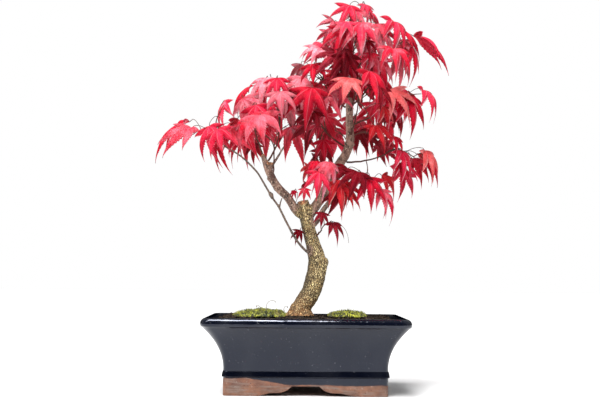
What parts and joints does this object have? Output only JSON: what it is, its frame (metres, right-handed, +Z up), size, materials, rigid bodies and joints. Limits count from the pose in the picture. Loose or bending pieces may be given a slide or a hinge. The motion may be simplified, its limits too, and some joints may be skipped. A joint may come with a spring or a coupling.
{
  "type": "japanese maple bonsai",
  "caption": "Dwarf potted tree with crimson palmate leaves on a forked tan trunk, in a dark glazed rectangular pot with flared sides, a rolled rim and bare clay bracket feet.",
  "frame": {"origin": "on the ground under the middle of the whole bonsai's bounding box, at the underside of the pot's feet", "axes": "+Z up; +Y from the front of the pot, the side seen in the picture, to its back; +X to the right along the pot's long side as seen from the front"},
  "size_m": [0.301, 0.1636, 0.3942],
  "materials": {
    "glaze": "dark blue-black gloss glaze over stoneware",
    "clay": "bare fired red clay, matt",
    "soil": "dark damp crumbly bonsai soil",
    "moss": "short yellow-green moss",
    "bark": "rough tan bark with ochre flecks",
    "bark_young": "smoother grey-brown bark",
    "leaf": "crimson leaves with a soft sheen, on dark red stalks"
  },
  "bodies": {
    "root": {"pot": "glaze", "soil": "soil", "moss_left": "moss", "moss_right": "moss", "moss_back": "moss", "trunk": "bark", "bough_left": "bark_young", "bough_leader": "bark_young", "bough_low_right": "bark_young", "whip_left": "bark_young", "foot_front_left": "clay", "foot_front_right": "clay", "foot_back_left": "clay", "foot_back_right": "clay", "foliage_far_left": "leaf", "foliage_left": "leaf", "foliage_left_crest": "leaf", "foliage_upper_left": "leaf", "foliage_top": "leaf", "foliage_top_right": "leaf", "foliage_right": "leaf", "foliage_front": "leaf", "foliage_centre_left": "leaf", "foliage_inner": "leaf", "foliage_low_front": "leaf", "foliage_low_right": "leaf", "foliage_far_right": "leaf", "foliage_back_top": "leaf", "foliage_back": "leaf", "foliage_back_left": "leaf", "twig_low": "leaf"}
  },
  "joints": []
}
